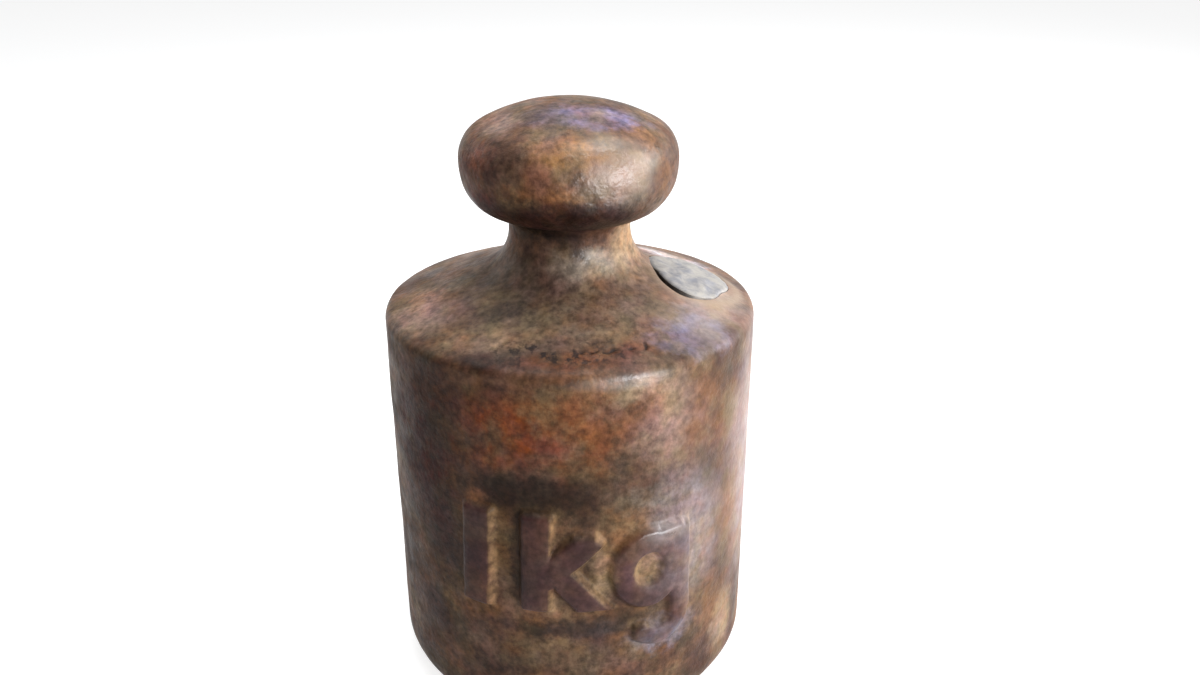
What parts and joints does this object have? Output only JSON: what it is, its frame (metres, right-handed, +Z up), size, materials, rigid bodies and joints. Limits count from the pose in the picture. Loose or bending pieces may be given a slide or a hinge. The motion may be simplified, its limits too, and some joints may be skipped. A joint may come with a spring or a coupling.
{
  "type": "scale weight",
  "caption": "Cast-iron knob weight for a balance: round body, sloping shoulder, lifting knob, and an adjusting cavity closed by a disc and a lead plug.",
  "frame": {"origin": "centre of the flat base, on the surface that the weight stands on", "axes": "+Z up along the weight's axis, -Y towards the face with the mass mark, +X towards the lead plug"},
  "size_m": [0.0528, 0.0528, 0.0854],
  "materials": {
    "rusted_iron": "old cast iron, handled smooth, brown rust with a thin waxy skin",
    "driven_lead": "hammered lead, dull silver grey",
    "disc_iron": "plain iron",
    "shot_lead": "dull lead"
  },
  "bodies": {
    "root": {"casting": "rusted_iron", "closing_disc": "disc_iron", "lead_plug": "driven_lead", "lead_shot_1": "shot_lead", "lead_shot_2": "shot_lead", "lead_shot_3": "shot_lead", "lead_shot_4": "shot_lead", "lead_shot_5": "shot_lead", "lead_shot_6": "shot_lead", "lead_shot_7": "shot_lead", "lead_shot_8": "shot_lead", "lead_shot_9": "shot_lead", "lead_shot_10": "shot_lead", "lead_shot_11": "shot_lead", "lead_shot_12": "shot_lead", "lead_shot_13": "shot_lead", "lead_shot_14": "shot_lead", "lead_shot_15": "shot_lead", "lead_shot_16": "shot_lead", "lead_shot_17": "shot_lead", "lead_shot_18": "shot_lead", "lead_shot_19": "shot_lead", "lead_shot_20": "shot_lead", "lead_shot_21": "shot_lead", "lead_shot_22": "shot_lead", "lead_shot_23": "shot_lead", "lead_shot_24": "shot_lead"}
  },
  "joints": []
}
